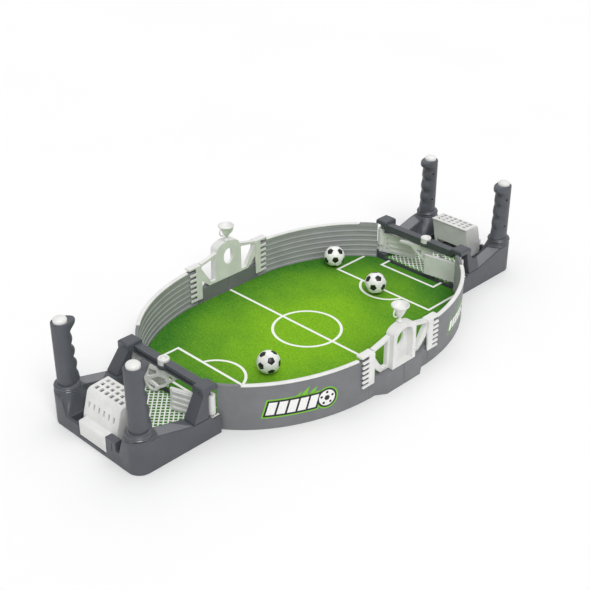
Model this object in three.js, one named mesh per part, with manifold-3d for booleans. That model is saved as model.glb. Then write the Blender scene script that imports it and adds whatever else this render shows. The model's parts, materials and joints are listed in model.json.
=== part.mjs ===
// A tabletop football game: an oval walled pitch between two consoles. Each console has two pistol
// grips with a thumb button, a goal with a turning keeper, and two flippers that the buttons swing.
// Millimetres, +Z up, origin at the bottom centre, X along the pitch.
import * as THREE from "three";
import { ConvexGeometry } from "three/addons/geometries/ConvexGeometry.js";
import { mergeVertices } from "three/addons/utils/BufferGeometryUtils.js";
import Module from "manifold-3d";

const wasm = await Module();
wasm.setup();

// ---- Driving dimensions ---------------------------------------------------------------------

const HALF_LENGTH = 290; // centre to a console's outer end
const CONSOLE_HALF_WIDTH = 68;
const CONSOLE_INNER_X = 188.4; // the console's end towards the pitch
const CORNER_RADIUS = 14;
const GAP = 0.3; // air between pieces that touch
const SKIN = 2.4; // moulded wall thickness

const WALL = { straight: 34.4, semiX: 172.2, semiY: 132, thickness: 3.4, height: 52 };
const WALL_START_X = 47; // where a wall leaves the side frame
const WALL_END_X = 187; // where it meets the console
const RIM = { endX: 172, width: 4.4, height: 1.6 }; // white strip on the wall's top edge

const TRAY_TOP = 7.6; // console floor and turf, the level the balls roll on
const FLANK_LOW = 24; // flank top beside the goal
const FLANK_HIGH = 34.5; // flank top beside the tower
const FLANK_INNER_Y = 51;
const END_WALL_TOP = 15.5;

const HANDLE = { x: 276, y: 55, radius: 9.4, bottom: 43.7, top: 111 };
const COLLAR = { radius: 13.2, bottom: 36, top: 43.4 };
const BUTTON = { radius: 7, bottom: 105, top: 115.7, stemRadius: 2.4, floor: 100.4 };
const SPRING = { bottom: 80.3, top: 104.7, inner: 3, outer: 5.2 };

const HINGE = { x: 193, y: 60, pinRadius: 1.5, barrelRadius: 4.2, barrelBottom: 21.6, barrelTop: 43 };
const FLIPPER = { length: 46, thickness: 3.4, bottom: 12.3, top: 37.3, ribs: 4, ribDepth: 0.8 };
const REST_BACK = THREE.MathUtils.degToRad(17.6); // the flipper that rests swung into its goal
const REST_FORWARD = THREE.MathUtils.degToRad(-10); // the one that rests swung out of it
const SWING = THREE.MathUtils.degToRad(50);
const CRANK = { radius: 4.8, hubRadius: 2.9, pinRadius: 0.85, bottom: 14.3, top: 17.3, pinTop: 20.8 };
const LINK = { bottom: 18, top: 21 };

const BAR = { x: 194, halfDepth: 4.5, bottom: 43.5, top: 52, halfWidth: 50 };
const BLOCK_TOP = 56; // the crossbar's end blocks
const KEEPER = { y: -8, neckRadius: 2.9, capRadius: 6.2, seat: 47.5, capTop: 54.4, turn: 14 };

const HOOD = { halfWidth: 26, ledgeHalfWidth: 20.8, ledgeTop: 22, wall: 2, bottom: 7.9 };

const FRAME = { halfWidth: 46, combHalfWidth: 60, bottom: 24.3, railTop: 56, humpTop: 71 };
const BAND_TOP = 24; // the base's side band, under the side frames
const FOOT_Y = 139;

const BALL = { radius: 12.5 };
const BALL_SPOTS = { one: [-91, -33], two: [114, 0], three: [130, 80] };

const DARK_GREY = { color: 0x585a60, roughness: 0.5 };
const WALL_GREY = { color: 0x85868a, roughness: 0.45 };
const WHITE = { color: 0xf4f4f2, roughness: 0.4 };
const TURF_GREEN = { color: 0x5fae22, roughness: 0.9 };
const STEEL = { color: 0xb8babd, roughness: 0.3, metalness: 1 };

// ---- Solids ---------------------------------------------------------------------------------

function solidOf(geometry) {
  const bare = geometry.index ? geometry.toNonIndexed() : geometry.clone();
  bare.deleteAttribute("normal");
  bare.deleteAttribute("uv");
  const merged = mergeVertices(bare, 1e-4);
  const vertProperties = merged.attributes.position.array;
  const triVerts = new Uint32Array(merged.index.array);
  return new wasm.Manifold(new wasm.Mesh({ numProp: 3, vertProperties, triVerts }));
}

function geometryOf(solid) {
  const mesh = solid.getMesh();
  const positions = new THREE.BufferAttribute(new Float32Array(mesh.vertProperties), 3);
  const geometry = new THREE.BufferGeometry().setAttribute("position", positions);
  geometry.setIndex(new THREE.BufferAttribute(new Uint32Array(mesh.triVerts), 1));
  const flat = geometry.toNonIndexed();
  flat.computeVertexNormals();
  return flat;
}

const join = (first, ...rest) => rest.reduce((sum, solid) => sum.add(solid), first);
const cut = (first, ...rest) => rest.reduce((left, solid) => left.subtract(solid), first);
const common = (first, second) => first.intersect(second);

function block([x0, x1], [y0, y1], [z0, z1]) {
  const box = new THREE.BoxGeometry(x1 - x0, y1 - y0, z1 - z0);
  return solidOf(box.translate((x0 + x1) / 2, (y0 + y1) / 2, (z0 + z1) / 2));
}

function shapeOf(points) {
  return new THREE.Shape(points.map(([a, b]) => new THREE.Vector2(a, b)));
}

// A plan outline raised from z0 to z1.
function plate(shape, [z0, z1], curveSegments = 6) {
  const options = { depth: z1 - z0, bevelEnabled: false, curveSegments };
  return solidOf(new THREE.ExtrudeGeometry(shape, options).translate(0, 0, z0));
}

// An outline in X and Z carried along Y.
function sideProfile(shape, [y0, y1], curveSegments = 6) {
  const options = { depth: y1 - y0, bevelEnabled: false, curveSegments };
  const geometry = new THREE.ExtrudeGeometry(shape, options).rotateX(Math.PI / 2);
  return solidOf(geometry.translate(0, y1, 0));
}

function rod(radius, [x, y], [z0, z1], segments = 24) {
  const cylinder = new THREE.CylinderGeometry(radius, radius, z1 - z0, segments);
  return solidOf(cylinder.rotateX(Math.PI / 2).translate(x, y, (z0 + z1) / 2));
}

// A profile of [radius, z] points turned about a vertical axis at x, y.
function turned(profile, [x, y], segments = 24) {
  const points = profile.map(([r, z]) => new THREE.Vector2(r, z));
  const lathe = new THREE.LatheGeometry(points, segments).rotateX(Math.PI / 2);
  return solidOf(lathe.translate(x, y, 0));
}

const hull = (points) => solidOf(new ConvexGeometry(points.map((p) => new THREE.Vector3(...p))));

function rectangle([x0, x1], [y0, y1], z) {
  return [[x0, y0, z], [x1, y0, z], [x1, y1, z], [x0, y1, z]];
}

function circle(radius, [x, y], z, segments = 24) {
  return Array.from({ length: segments }, (_, i) => {
    const angle = (2 * Math.PI * i) / segments;
    return [x + radius * Math.cos(angle), y + radius * Math.sin(angle), z];
  });
}

const mirrorY = (solid) => solidOf(flipped(geometryOf(solid), 1, -1));

// A geometry mirrored in X or Y, with its faces turned back outwards.
function flipped(geometry, signX, signY) {
  const position = geometry.attributes.position;
  for (let i = 0; i < position.count; i += 1) {
    position.setXY(i, signX * position.getX(i), signY * position.getY(i));
  }
  if (signX * signY < 0) {
    for (let i = 0; i < position.count; i += 3) {
      const corner = new THREE.Vector3().fromBufferAttribute(position, i + 1);
      const other = new THREE.Vector3().fromBufferAttribute(position, i + 2);
      position.setXYZ(i + 1, other.x, other.y, other.z);
      position.setXYZ(i + 2, corner.x, corner.y, corner.z);
    }
  }
  return geometry;
}

function piece(name, solid, look) {
  const mesh = new THREE.Mesh(geometryOf(solid), new THREE.MeshStandardMaterial(look));
  mesh.name = name;
  return mesh;
}

// ---- Console: tray, flanks, towers and handle collars (built for the +X end) -------------------

function consoleOutline(inset = 0) {
  const x0 = CONSOLE_INNER_X + inset;
  const x1 = HALF_LENGTH - inset;
  const y = CONSOLE_HALF_WIDTH - inset;
  const r = CORNER_RADIUS - inset;
  const shape = new THREE.Shape();
  shape.moveTo(x0, -y);
  shape.lineTo(x1 - r, -y);
  shape.absarc(x1 - r, -y + r, r, -Math.PI / 2, 0);
  shape.lineTo(x1, y - r);
  shape.absarc(x1 - r, y - r, r, 0, Math.PI / 2);
  shape.lineTo(x0, y);
  return shape;
}

function flankAndTower() {
  const axis = [HANDLE.x, HANDLE.y];
  const outerY = CONSOLE_HALF_WIDTH;
  const slope = shapeOf([
    [CONSOLE_INNER_X, 0],
    [HALF_LENGTH, 0],
    [HALF_LENGTH, FLANK_HIGH],
    [262, FLANK_HIGH],
    [221, FLANK_LOW],
    [CONSOLE_INNER_X, FLANK_LOW],
  ]);
  const flank = sideProfile(slope, [FLANK_INNER_Y, outerY]);
  const tower = hull([
    ...rectangle([250, HALF_LENGTH], [40, outerY], 12),
    ...rectangle([260, HALF_LENGTH], [46, outerY], 30),
    ...circle(COLLAR.radius - 0.4, axis, COLLAR.bottom + 1),
  ]);
  return join(flank, tower);
}

function handleCollar() {
  const { radius, bottom, top } = COLLAR;
  const bead = [
    [0, bottom],
    [radius - 0.8, bottom],
    [radius - 1.4, bottom + 2.6],
    [radius - 0.4, bottom + 3.4],
    [radius, bottom + 4.6],
    [radius - 0.2, bottom + 5.8],
    [radius - 1.2, top],
    [0, top],
  ];
  return turned(bead, [HANDLE.x, HANDLE.y], 28);
}

function consoleBody() {
  const inside = plate(consoleOutline(SKIN), [-1, 21.6]);
  const tray = plate(consoleOutline(), [0, END_WALL_TOP]);
  const sides = [flankAndTower(), mirrorY(flankAndTower())];
  const tall = common(join(tray, ...sides), plate(consoleOutline(), [0, 60]));
  const latch = block([282, HALF_LENGTH], [21.4, 36], [8, 25]);
  let body = join(tall, handleCollar(), mirrorY(handleCollar()), latch);

  const trayReach = FLANK_INNER_Y - 1;
  const ballTray = block([CONSOLE_INNER_X - 1, 250], [-trayReach, trayReach], [TRAY_TOP, 70]);
  const hoodTray = cut(
    block([249, HALF_LENGTH - 3.5], [-38, 38], [TRAY_TOP, 70]),
    block([282, HALF_LENGTH], [21.4, 36], [0, 25]),
  );
  const ledgeGate = block([285, HALF_LENGTH + 1], [-21.1, 21.1], [4.7, 70]);
  const latchSlit = block([286, HALF_LENGTH + 1], [29.8, 31.2], [13, 22]);
  body = cut(body, ballTray, hoodTray, ledgeGate, latchSlit);

  const underside = block([CONSOLE_INNER_X + SKIN, HALF_LENGTH - 3], [-47.5, 47.5], [-1, 4.6]);
  body = cut(body, common(underside, inside));
  for (const side of [1, -1]) {
    const strip = [52.8, CONSOLE_HALF_WIDTH].map((y) => y * side).sort((a, b) => a - b);
    const channel = common(block([203, HALF_LENGTH], strip, [-1, 21.6]), inside);
    const axis = [HANDLE.x, side * HANDLE.y];
    const recessY = [48, CONSOLE_HALF_WIDTH - 1.3].map((y) => y * side).sort((a, b) => a - b);
    const openY = [48, CONSOLE_HALF_WIDTH + 1].map((y) => y * side).sort((a, b) => a - b);
    const windowY = [61, CONSOLE_HALF_WIDTH - 1.3].map((y) => y * side).sort((a, b) => a - b);
    body = cut(
      body,
      channel,
      rod(9, axis, [-1, COLLAR.bottom]),
      rod(BUTTON.stemRadius + 0.6, axis, [-1, COLLAR.top + 1]),
      block([CONSOLE_INNER_X - 1, 199.5], recessY, [11.7, 30]),
      block([CONSOLE_INNER_X - 1, 199.5], openY, [21.3, 30]),
      block([199, 204.2], windowY, [17.4, 21.6]),
      rod(HINGE.pinRadius + GAP, [HINGE.x, side * HINGE.y], [7.8, 30], 16),
    );
  }
  return body;
}

// ---- Goal frame: two struts, their top blocks and the crossbar ---------------------------------

function goalPost() {
  const strut = hull([
    ...rectangle([203, 221], [52, 67.6], FLANK_LOW + GAP),
    ...rectangle([200, 206.5], [50, 64.6], 47),
  ]);
  const top = hull([
    ...rectangle([188, 206.5], [49, 65], 47),
    ...rectangle([188, 206.5], [49, 65], 54.5),
    ...rectangle([189.5, 205], [50.5, 63.5], BLOCK_TOP),
  ]);
  const hingePocket = block([186, 199.8], [53, 66], [40, 50]);
  return cut(join(strut, top), hingePocket);
}

function goalFrame() {
  const { x, halfDepth, bottom, top, halfWidth } = BAR;
  const bar = block([x - halfDepth, x + halfDepth], [-halfWidth, halfWidth], [bottom, top]);
  const grooveSpan = [-halfWidth + 3, halfWidth - 3];
  const groove = block([x + 1.8, x + halfDepth + 1], grooveSpan, [bottom + 1.6, bottom + 5]);
  const pivot = [x, KEEPER.y];
  const boss = rod(KEEPER.capRadius + 0.6, pivot, [bottom, KEEPER.seat]);
  let frame = join(cut(bar, groove), goalPost(), mirrorY(goalPost()), boss);
  frame = cut(
    frame,
    rod(KEEPER.capRadius + 0.7, pivot, [KEEPER.seat, top + 1]),
    rod(KEEPER.neckRadius + 0.15, pivot, [bottom - 1, top + 1]),
  );
  for (const side of [1, -1]) {
    frame = cut(frame, rod(HINGE.pinRadius + GAP, [HINGE.x, side * HINGE.y], [45, 54], 16));
  }
  return frame;
}

// ---- Hood: the perforated ball catcher between the grips ---------------------------------------

function catcherHood() {
  const { halfWidth, ledgeHalfWidth, ledgeTop, wall, bottom } = HOOD;
  const outside = shapeOf([
    [258, bottom], [281.5, bottom], [280.5, ledgeTop], [272, 48.5], [247, 50.5], [250, 46.5],
  ]);
  const inside = shapeOf([
    [256, bottom - 1], [279.4, bottom - 1], [278.4, ledgeTop], [270.4, 46.6], [252.5, 48], [262, 10],
  ]);
  const mouth = block([240, 270], [-halfWidth + 4, halfWidth - 4], [bottom - 1, 21]);
  let hood = sideProfile(outside, [-halfWidth, halfWidth]);
  hood = cut(hood, sideProfile(inside, [-halfWidth + wall, halfWidth - wall]), mouth);

  const holeRows = [{ x: 253.5, length: 3.4 }, { x: 259.8, length: 3.4 }, { x: 266.2, length: 4.6 }];
  for (let column = 0; column < 6; column += 1) {
    const y = (column - 2.5) * 7.6;
    for (const { x, length } of holeRows) {
      hood = cut(hood, block([x - length / 2, x + length / 2], [y - 1.7, y + 1.7], [44, 54]));
    }
    hood = cut(hood, block([270, 284], [y - 1, y + 1], [31, 37]));
  }

  const across = [-ledgeHalfWidth, ledgeHalfWidth];
  const ledgeOutside = block([279.6, HALF_LENGTH - 0.1], across, [bottom, ledgeTop]);
  const skirt = block([286.9, HALF_LENGTH - 0.1], across, [5, ledgeTop]);
  const hollow = [-ledgeHalfWidth + wall, ledgeHalfWidth - wall];
  const ledgeInside = block([279, HALF_LENGTH - wall], hollow, [4, ledgeTop - wall]);
  return join(hood, cut(join(ledgeOutside, skirt), ledgeInside));
}

// ---- Grips, buttons and return springs ---------------------------------------------------------

// How far the grip reaches towards the pitch at each height: a foot, three finger grooves, a beak.
const GRIP_REACH = [
  [43.7, 14.2],
  [50, 13.2],
  [56, 11.2],
  [60.5, 12.6],
  [64.5, 12.2],
  [70, 9.2],
  [75, 11.6],
  [79, 11.4],
  [85, 8.2],
  [90, 10.2],
  [94, 9.6],
  [98.6, 8.4],
  [102, 10.8],
  [104.5, 14.6],
  [107.5, 16],
  [110, 15.2],
  [111, 13.6],
];

// A grip's closed skin: a ring of points at each height, round outside and drawn out to the reach.
function gripSkin() {
  const around = 18;
  const { x, y, radius } = HANDLE;
  const rings = GRIP_REACH.map(([z, reach]) =>
    Array.from({ length: around }, (_, i) => {
      const angle = (2 * Math.PI * (i + 0.5)) / around;
      const [along, across] = [Math.cos(angle), Math.sin(angle)];
      const edge = z > 110.5 ? radius - 0.8 : radius;
      const narrow = along < 0 ? 1 - 0.16 * along * along : 1;
      return [x + (along > 0 ? edge : reach) * along, y + edge * narrow * across, z];
    }),
  );
  const points = rings.flat();
  const faces = [];
  for (let row = 0; row + 1 < rings.length; row += 1) {
    for (let i = 0; i < around; i += 1) {
      const j = (i + 1) % around;
      const [a, b] = [row * around + i, row * around + j];
      faces.push(a, b, b + around, a, b + around, a + around);
    }
  }
  const last = (rings.length - 1) * around;
  for (let i = 1; i + 1 < around; i += 1) faces.push(0, i + 1, i, last, last + i, last + i + 1);
  const geometry = new THREE.BufferGeometry();
  geometry.setAttribute("position", new THREE.BufferAttribute(new Float32Array(points.flat()), 3));
  geometry.setIndex(faces);
  return solidOf(geometry);
}

function grip() {
  const axis = [HANDLE.x, HANDLE.y];
  return cut(
    gripSkin(),
    rod(BUTTON.radius + 0.3, axis, [BUTTON.floor, HANDLE.top + 1]),
    rod(SPRING.outer + 0.5, axis, [SPRING.bottom - GAP, BUTTON.floor + 1]),
    rod(BUTTON.stemRadius + 0.5, axis, [70, SPRING.bottom + 1], 16),
    rod(SPRING.outer + 0.5, axis, [HANDLE.bottom - 1, 72]),
  );
}

const GRIP_SCREWS = [60, 94]; // heights of the two screw holes

// Half of a grip, split on the plane through its axis. side is +1 for its +Y half, -1 for its -Y half.
function gripHalf(side, screwed) {
  const reach = side > 0 ? [HANDLE.y + 0.15, HANDLE.y + 20] : [HANDLE.y - 20, HANDLE.y - 0.15];
  let half = common(grip(), block([HANDLE.x - 20, HANDLE.x + 20], reach, [0, 130]));
  for (const z of screwed ? GRIP_SCREWS : []) {
    const hole = new THREE.CylinderGeometry(1.5, 1.5, 5, 12);
    half = cut(half, solidOf(hole.translate(HANDLE.x - 3, HANDLE.y + side * 9.6, z)));
  }
  return half;
}

// A button with its stem. The stem's tip is cut at 45 degrees, to wedge the link outwards.
function plunger() {
  const { radius, bottom, top, stemRadius } = BUTTON;
  const axis = [HANDLE.x, HANDLE.y];
  const cap = turned(
    [[0, bottom], [radius, bottom], [radius, 112.6], [radius - 0.8, 114], [radius - 3, 115.2], [0, top]],
    axis,
    28,
  );
  const stem = rod(stemRadius, axis, [12, bottom + 0.5], 16);
  const clearHeight = (at) => wedgeHeight(at) + 0.4;
  const below = shapeOf([[270, 0], [290, 0], [290, clearHeight(290)], [270, clearHeight(270)]]);
  return cut(join(cap, stem), sideProfile(below, [40, 70]));
}

function returnSpring() {
  const { inner, outer, bottom, top } = SPRING;
  const ring = [[inner, bottom], [outer, bottom], [outer, top], [inner, top], [inner, bottom]];
  return turned(ring, [HANDLE.x, HANDLE.y], 16);
}

// ---- Drive link: a wedge under the button's stem, and a fork on the flipper's crank --------------

const WEDGE_MID_Z = 17;
const wedgeHeight = (x) => WEDGE_MID_Z + (x - HANDLE.x);

function crankPin() {
  const angle = SWING / 2;
  return [HINGE.x - CRANK.radius * Math.sin(angle), HINGE.y + CRANK.radius * Math.cos(angle)];
}

function driveLink() {
  const { bottom, top } = LINK;
  const [pinX] = crankPin();
  const clear = CRANK.pinRadius + GAP;
  const tine = 1.7;
  const outerBar = block([pinX - clear - tine, 199.2], [64.8, 66.3], [bottom, top]);
  const tines = block([pinX - clear - tine, pinX + clear + tine], [63.3, 66.3], [bottom, top]);
  const notch = block([pinX - clear, pinX + clear], [60, 65.8], [bottom - 1, top + 1]);
  const bar = block([197.8, 274], [61.5, 64.6], [bottom, top]);
  const jog = block([197.8, 199.2], [61.5, 66.3], [bottom, top]);
  const wedge = shapeOf([[269, 10], [279.4, 10], [279.4, wedgeHeight(279.4)], [269, wedgeHeight(269)]]);
  const ramp = sideProfile(wedge, [52.9 + GAP, 61.2]);
  const web = block([269, 274], [61, 64.6], [10, top]);
  const heel = cut(web, sideProfile(shapeOf([[268, 10.1], [268, 22], [280, 22]]), [60, 61.6]));
  return join(cut(join(outerBar, tines), notch), jog, bar, heel, ramp);
}

// ---- Flippers and their hinge pins -------------------------------------------------------------

// The flipper on the +Y side. restAngle is how far it rests swung back into the goal. The panelled
// kind has ribs on both faces and holes at its root, the other has ribs on its goal face only.
function flipper(restAngle, panelled) {
  const { length, thickness, bottom, top, ribs, ribDepth } = FLIPPER;
  const half = thickness / 2;
  const blade = hull([
    ...rectangle([-half, half], [-length + 2, 0], bottom),
    ...rectangle([-half, half], [-length + 2, 0], top),
    ...rectangle([-half + 0.6, half - 0.6], [-length, 0], bottom),
    ...rectangle([-half + 0.6, half - 0.6], [-length, 0], top),
  ]);
  const ribStart = panelled ? -half - ribDepth : 0;
  let arm = blade;
  for (let rib = 0; rib < ribs; rib += 1) {
    const z = bottom + (top - bottom) * ((rib + 0.5) / ribs);
    arm = join(arm, block([ribStart, half + ribDepth], [-length + 3, -14], [z - 1.3, z + 1.3]));
  }
  for (const z of panelled ? [18, 24.8, 31.6] : []) {
    const hole = new THREE.CylinderGeometry(1.2, 1.2, 12, 10).rotateZ(Math.PI / 2);
    arm = cut(arm, solidOf(hole.translate(0, -9, z)));
  }
  const placed = solidOf(geometryOf(arm).rotateZ(restAngle).translate(HINGE.x, HINGE.y, 0));
  const barrel = join(
    rod(HINGE.barrelRadius, [HINGE.x, HINGE.y], [HINGE.barrelBottom, HINGE.barrelTop], 18),
    rod(CRANK.hubRadius, [HINGE.x, HINGE.y], [bottom, HINGE.barrelBottom + 1], 18),
  );
  const [pinX, pinY] = crankPin();
  const crank = hull([
    ...circle(CRANK.hubRadius, [HINGE.x, HINGE.y], CRANK.bottom, 12),
    ...circle(CRANK.hubRadius, [HINGE.x, HINGE.y], CRANK.top, 12),
    ...circle(CRANK.pinRadius + 0.4, [pinX, pinY], CRANK.bottom, 12),
    ...circle(CRANK.pinRadius + 0.4, [pinX, pinY], CRANK.top, 12),
  ]);
  const post = rod(CRANK.pinRadius, [pinX, pinY], [CRANK.bottom, CRANK.pinTop], 12);
  const bore = rod(HINGE.pinRadius + 0.12, [HINGE.x, HINGE.y], [0, 60], 18);
  return cut(join(placed, barrel, crank, post), bore);
}

const hingePin = () => rod(HINGE.pinRadius, [HINGE.x, HINGE.y], [8.1, 53.7], 18);

// ---- Goalkeeper: lattice figure under the crossbar, and the cap that holds it --------------------

// A standing outline in Y and Z, given depth along X and centred on X = 0.
function standingProfile(points, depth) {
  const options = { depth, bevelEnabled: false };
  const geometry = new THREE.ExtrudeGeometry(shapeOf(points), options);
  return solidOf(geometry.rotateX(Math.PI / 2).rotateZ(Math.PI / 2).translate(-depth / 2, 0, 0));
}

// The goalkeeper: a lattice figure on a neck, with two arms along the underside of the crossbar.
function keeperFigure() {
  let figure = standingProfile(
    [[-16, 42], [-21, 37], [-25, 29.5], [-25.6, 21], [-23, 13.4], [-17.5, 10.6], [-11.5, 11], [-7.5, 15.5],
      [0.5, 20.5], [5, 25.5], [12, 31], [19, 38.3], [32.6, 38.9], [34, 40.4], [33, 42]],
    3.2,
  );
  const holes = [
    [[-19, 36], [-20.6, 26.8], [-9.4, 32.4], [-9.4, 36.6]],
    [[-18.4, 23.2], [-9, 18.4], [-1.4, 22], [2.2, 26.4], [0.4, 30.6], [-7.4, 30]],
    [[4.4, 28], [11.2, 34], [4.6, 35.6]],
    [[-21.4, 19.6], [-20.4, 15], [-16, 12.8], [-11.4, 15.6]],
  ];
  for (const points of holes) figure = cut(figure, standingProfile(points, 8));
  const turn = THREE.MathUtils.degToRad(KEEPER.turn);
  const placed = solidOf(geometryOf(figure).rotateZ(turn).translate(BAR.x, KEEPER.y, 0));
  return join(placed, rod(KEEPER.neckRadius, [BAR.x, KEEPER.y], [40, KEEPER.seat + 2.7]));
}

function keeperCap() {
  const { capRadius, capTop, seat, neckRadius } = KEEPER;
  const outer = capRadius;
  const profile = [
    [0, seat + 3.1],
    [neckRadius + GAP, seat + 3.1],
    [neckRadius + GAP, seat + GAP],
    [outer, seat + GAP],
    [outer, capTop - 0.8],
    [outer - 0.8, capTop],
    [3.4, capTop],
    [3, capTop - 2],
    [0, capTop - 2],
  ];
  return turned(profile, [BAR.x, KEEPER.y], 28);
}

function netFloor() {
  return block([189.2, 248], [-49.4, 49.4], [TRAY_TOP + GAP, TRAY_TOP + 0.9]);
}

// ---- Pitch: walls, rim strips, side frames, base halves and turf ---------------------------------

// Points of the wall's outer path, moved inwards by inset, from one x to another (first quadrant).
function wallPath(inset, fromX, toX, steps) {
  const { straight, semiX, semiY } = WALL;
  const angleAt = (x) => Math.acos(Math.max(0, x - straight) / semiX);
  const points = [];
  if (fromX < straight) points.push([fromX, semiY - inset]);
  const start = angleAt(fromX);
  const end = angleAt(toX);
  for (let i = 0; i <= steps; i += 1) {
    const angle = start + ((end - start) * i) / steps;
    const normal = new THREE.Vector2(Math.cos(angle) / semiX, Math.sin(angle) / semiY).normalize();
    const x = straight + semiX * Math.cos(angle) - inset * normal.x;
    points.push([x, semiY * Math.sin(angle) - inset * normal.y]);
  }
  return points;
}

function ribbon([outer, inner], [fromX, toX], [z0, z1], steps) {
  const back = wallPath(inner, fromX, toX, steps).reverse();
  return plate(shapeOf([...wallPath(outer, fromX, toX, steps), ...back]), [z0, z1]);
}

function pitchWall() {
  const low = WALL.height - RIM.height - GAP;
  const wall = ribbon([0, WALL.thickness], [WALL_START_X, WALL_END_X], [0, low], 20);
  const end = ribbon([0, WALL.thickness], [RIM.endX + 1, WALL_END_X], [low - 1, WALL.height], 4);
  return join(wall, end);
}

function rimStrip() {
  const overhang = (RIM.width - WALL.thickness) / 2;
  const heights = [WALL.height - RIM.height, WALL.height];
  return ribbon([-overhang, WALL.thickness + overhang], [FRAME.combHalfWidth + 1.5, RIM.endX], heights, 18);
}

function pitchOutline(inset, fromX) {
  const quarter = wallPath(inset, Math.max(fromX, 0), WALL_END_X, 22);
  const mirrored = quarter.map(([x, y]) => [x, -y]).reverse();
  return [...quarter, ...mirrored];
}

// One half of the base: a floor plate, and half of the band and foot on each long side.
function baseHalf() {
  const joint = 0.2;
  const floor = plate(shapeOf(pitchOutline(WALL.thickness + GAP, joint)), [2.5, TRAY_TOP - 0.9]);
  const bandOuter = WALL.semiY;
  const band = block([joint, WALL_START_X - GAP], [bandOuter - 5, bandOuter - 0.2], [0, BAND_TOP]);
  const foot = hull([
    ...rectangle([joint, 37], [bandOuter - 2, bandOuter - 0.2], 0),
    ...rectangle([joint, 26], [bandOuter - 2, FOOT_Y], 0),
    ...rectangle([joint, 37], [bandOuter - 2, bandOuter - 0.2], BAND_TOP),
    ...rectangle([joint, 26], [bandOuter - 2, FOOT_Y - 1], BAND_TOP),
  ]);
  const lip = block([joint, WALL_START_X - GAP], [bandOuter - 9, bandOuter - 4], [2.5, TRAY_TOP - 0.9]);
  const side = join(band, foot, lip);
  const clipped = common(side, block([joint, 60], [100, 160], [0, 60]));
  return join(floor, clipped, mirrorY(clipped));
}

function turfSheet() {
  const right = pitchOutline(WALL.thickness + 0.8, 0);
  const left = right.map(([x, y]) => [-x, -y]);
  const clear = plate(shapeOf([...right, ...left]), [TRAY_TOP - 0.6, TRAY_TOP]);
  return common(clear, block([-300, 300], [-(WALL.semiY - 6.4), WALL.semiY - 6.4], [0, 20]));
}

// The white frame in the middle of the +Y side: comb ends, slanted windows and an arched niche.
function sideFrame() {
  const { halfWidth, combHalfWidth, bottom, railTop, humpTop } = FRAME;
  const wallOuter = WALL.semiY;
  const inner = wallOuter - 5.6;
  const panel = shapeOf([
    [-30, bottom], [30, bottom], [halfWidth, 40], [halfWidth, railTop - 1], [16, railTop + 6],
    [-16, railTop + 6], [-halfWidth, railTop - 1], [-halfWidth, 40],
  ]);
  let frame = sideProfile(panel, [inner, wallOuter - 0.4]);
  for (const side of [1, -1]) {
    const window = shapeOf([[20, 28], [27, 28], [42.5, 52.5], [20, 57]].map(([x, z]) => [x * side, z]));
    frame = cut(frame, sideProfile(window, [inner - 1, wallOuter + 8]));
  }

  const hump = new THREE.Shape();
  hump.moveTo(-18, bottom);
  hump.lineTo(18, bottom);
  hump.lineTo(17.4, humpTop - 8);
  hump.absellipse(0, humpTop - 8, 17.4, 8, 0, Math.PI);
  const niche = new THREE.Shape();
  niche.moveTo(-13, bottom + 1.6);
  niche.lineTo(13, bottom + 1.6);
  niche.lineTo(12.4, humpTop - 14);
  niche.absellipse(0, humpTop - 14, 12.4, 9.6, 0, Math.PI);
  const oval = new THREE.Shape();
  oval.absellipse(0, 51.5, 7, 9.5, 0, 2 * Math.PI);
  frame = join(frame, sideProfile(hump, [inner, FOOT_Y - 1.4], 12));

  const railOuter = wallOuter + 1.6;
  for (const side of [1, -1]) {
    const [x0, x1] = [(halfWidth - 4) * side, combHalfWidth * side].sort((a, b) => a - b);
    frame = join(frame, block([x0, x1], [inner - 1.4, railOuter], [railTop - 2.4, railTop]));
  }
  frame = cut(frame, sideProfile(niche, [inner + 3, FOOT_Y], 12), sideProfile(oval, [inner - 2, FOOT_Y], 12));

  // Two combs at each end hold the wall ends between them: one outside, one inside.
  for (const side of [1, -1]) {
    const along = (from, to) => [from * side, to * side].sort((a, b) => a - b);
    const outside = [wallOuter + 0.4, wallOuter + 2.6];
    const inside = [inner - 1.4, inner + 0.2];
    const outerSpine = block(along(halfWidth - 4, halfWidth + 4), outside, [19, railTop - 1]);
    const innerSpine = block(along(halfWidth - 4, halfWidth + 4), inside, [12.6, railTop - 1]);
    const tieSpan = along(halfWidth - 4, halfWidth - 0.2);
    const tie = block(tieSpan, [inner - 0.4, wallOuter + 1], [40, railTop - 1]);
    frame = join(frame, outerSpine, innerSpine, tie);
    const toothSpan = along(halfWidth + 3, combHalfWidth - 1);
    for (let tooth = 0; tooth < 6; tooth += 1) {
      const outerZ = 19 + tooth * 5.7;
      const innerZ = 12.6 + tooth * 6.5;
      frame = join(
        frame,
        block(toothSpan, outside, [outerZ, outerZ + 2.6]),
        block(toothSpan, inside, [innerZ, innerZ + 3]),
      );
    }
  }
  return frame;
}

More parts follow.
